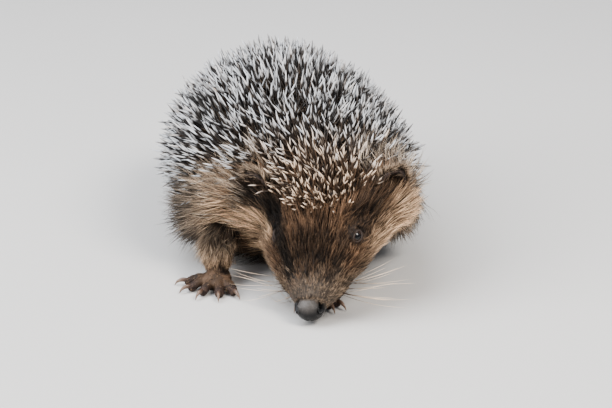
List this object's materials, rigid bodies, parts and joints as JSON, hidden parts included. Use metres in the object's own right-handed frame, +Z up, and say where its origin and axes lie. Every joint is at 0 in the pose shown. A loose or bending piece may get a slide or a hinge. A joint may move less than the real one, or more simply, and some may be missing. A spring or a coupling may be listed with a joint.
{
  "type": "hedgehog",
  "caption": "Young hedgehog on all feet with its nose lowered to the ground: spiny back and crown, furred face and flanks, small ears, clawed feet.",
  "frame": {"origin": "on the floor, below the middle of the object's bounding box", "axes": "+Y from the nose to the rump, +X to the animal's own left, +Z up; it stands on its soles"},
  "size_m": [0.0916, 0.1628, 0.0689],
  "materials": {
    "spiny_coat": "horn spines, dark in the middle with pale tips, smooth and slightly shiny",
    "face_fur": "short fur, lying flat",
    "flank_fur": "coarse, longer fur",
    "bare_skin": "soft, wrinkled skin",
    "nose_skin": "moist, pebbled skin",
    "eyeball": "wet and glossy",
    "claw_horn": "smooth horn"
  },
  "bodies": {
    "root": {"head": "face_fur", "lower_jaw": "face_fur", "neck": "spiny_coat", "trunk": "spiny_coat", "tail": "flank_fur", "nose": "nose_skin", "eye_left": "eyeball", "eye_right": "eyeball", "ear_left": "bare_skin", "ear_right": "bare_skin", "foreleg_right": "flank_fur", "foreleg_left": "flank_fur", "hindleg_right": "flank_fur", "hindleg_left": "flank_fur", "forepaw_right": "bare_skin", "forepaw_right_claw_1": "claw_horn", "forepaw_right_claw_2": "claw_horn", "forepaw_right_claw_3": "claw_horn", "forepaw_right_claw_4": "claw_horn", "forepaw_right_claw_5": "claw_horn", "forepaw_left": "bare_skin", "forepaw_left_claw_1": "claw_horn", "forepaw_left_claw_2": "claw_horn", "forepaw_left_claw_3": "claw_horn", "forepaw_left_claw_4": "claw_horn", "forepaw_left_claw_5": "claw_horn", "hindpaw_right": "bare_skin", "hindpaw_right_claw_1": "claw_horn", "hindpaw_right_claw_2": "claw_horn", "hindpaw_right_claw_3": "claw_horn", "hindpaw_right_claw_4": "claw_horn", "hindpaw_right_claw_5": "claw_horn", "hindpaw_left": "bare_skin", "hindpaw_left_claw_1": "claw_horn", "hindpaw_left_claw_2": "claw_horn", "hindpaw_left_claw_3": "claw_horn", "hindpaw_left_claw_4": "claw_horn", "hindpaw_left_claw_5": "claw_horn"}
  },
  "joints": []
}
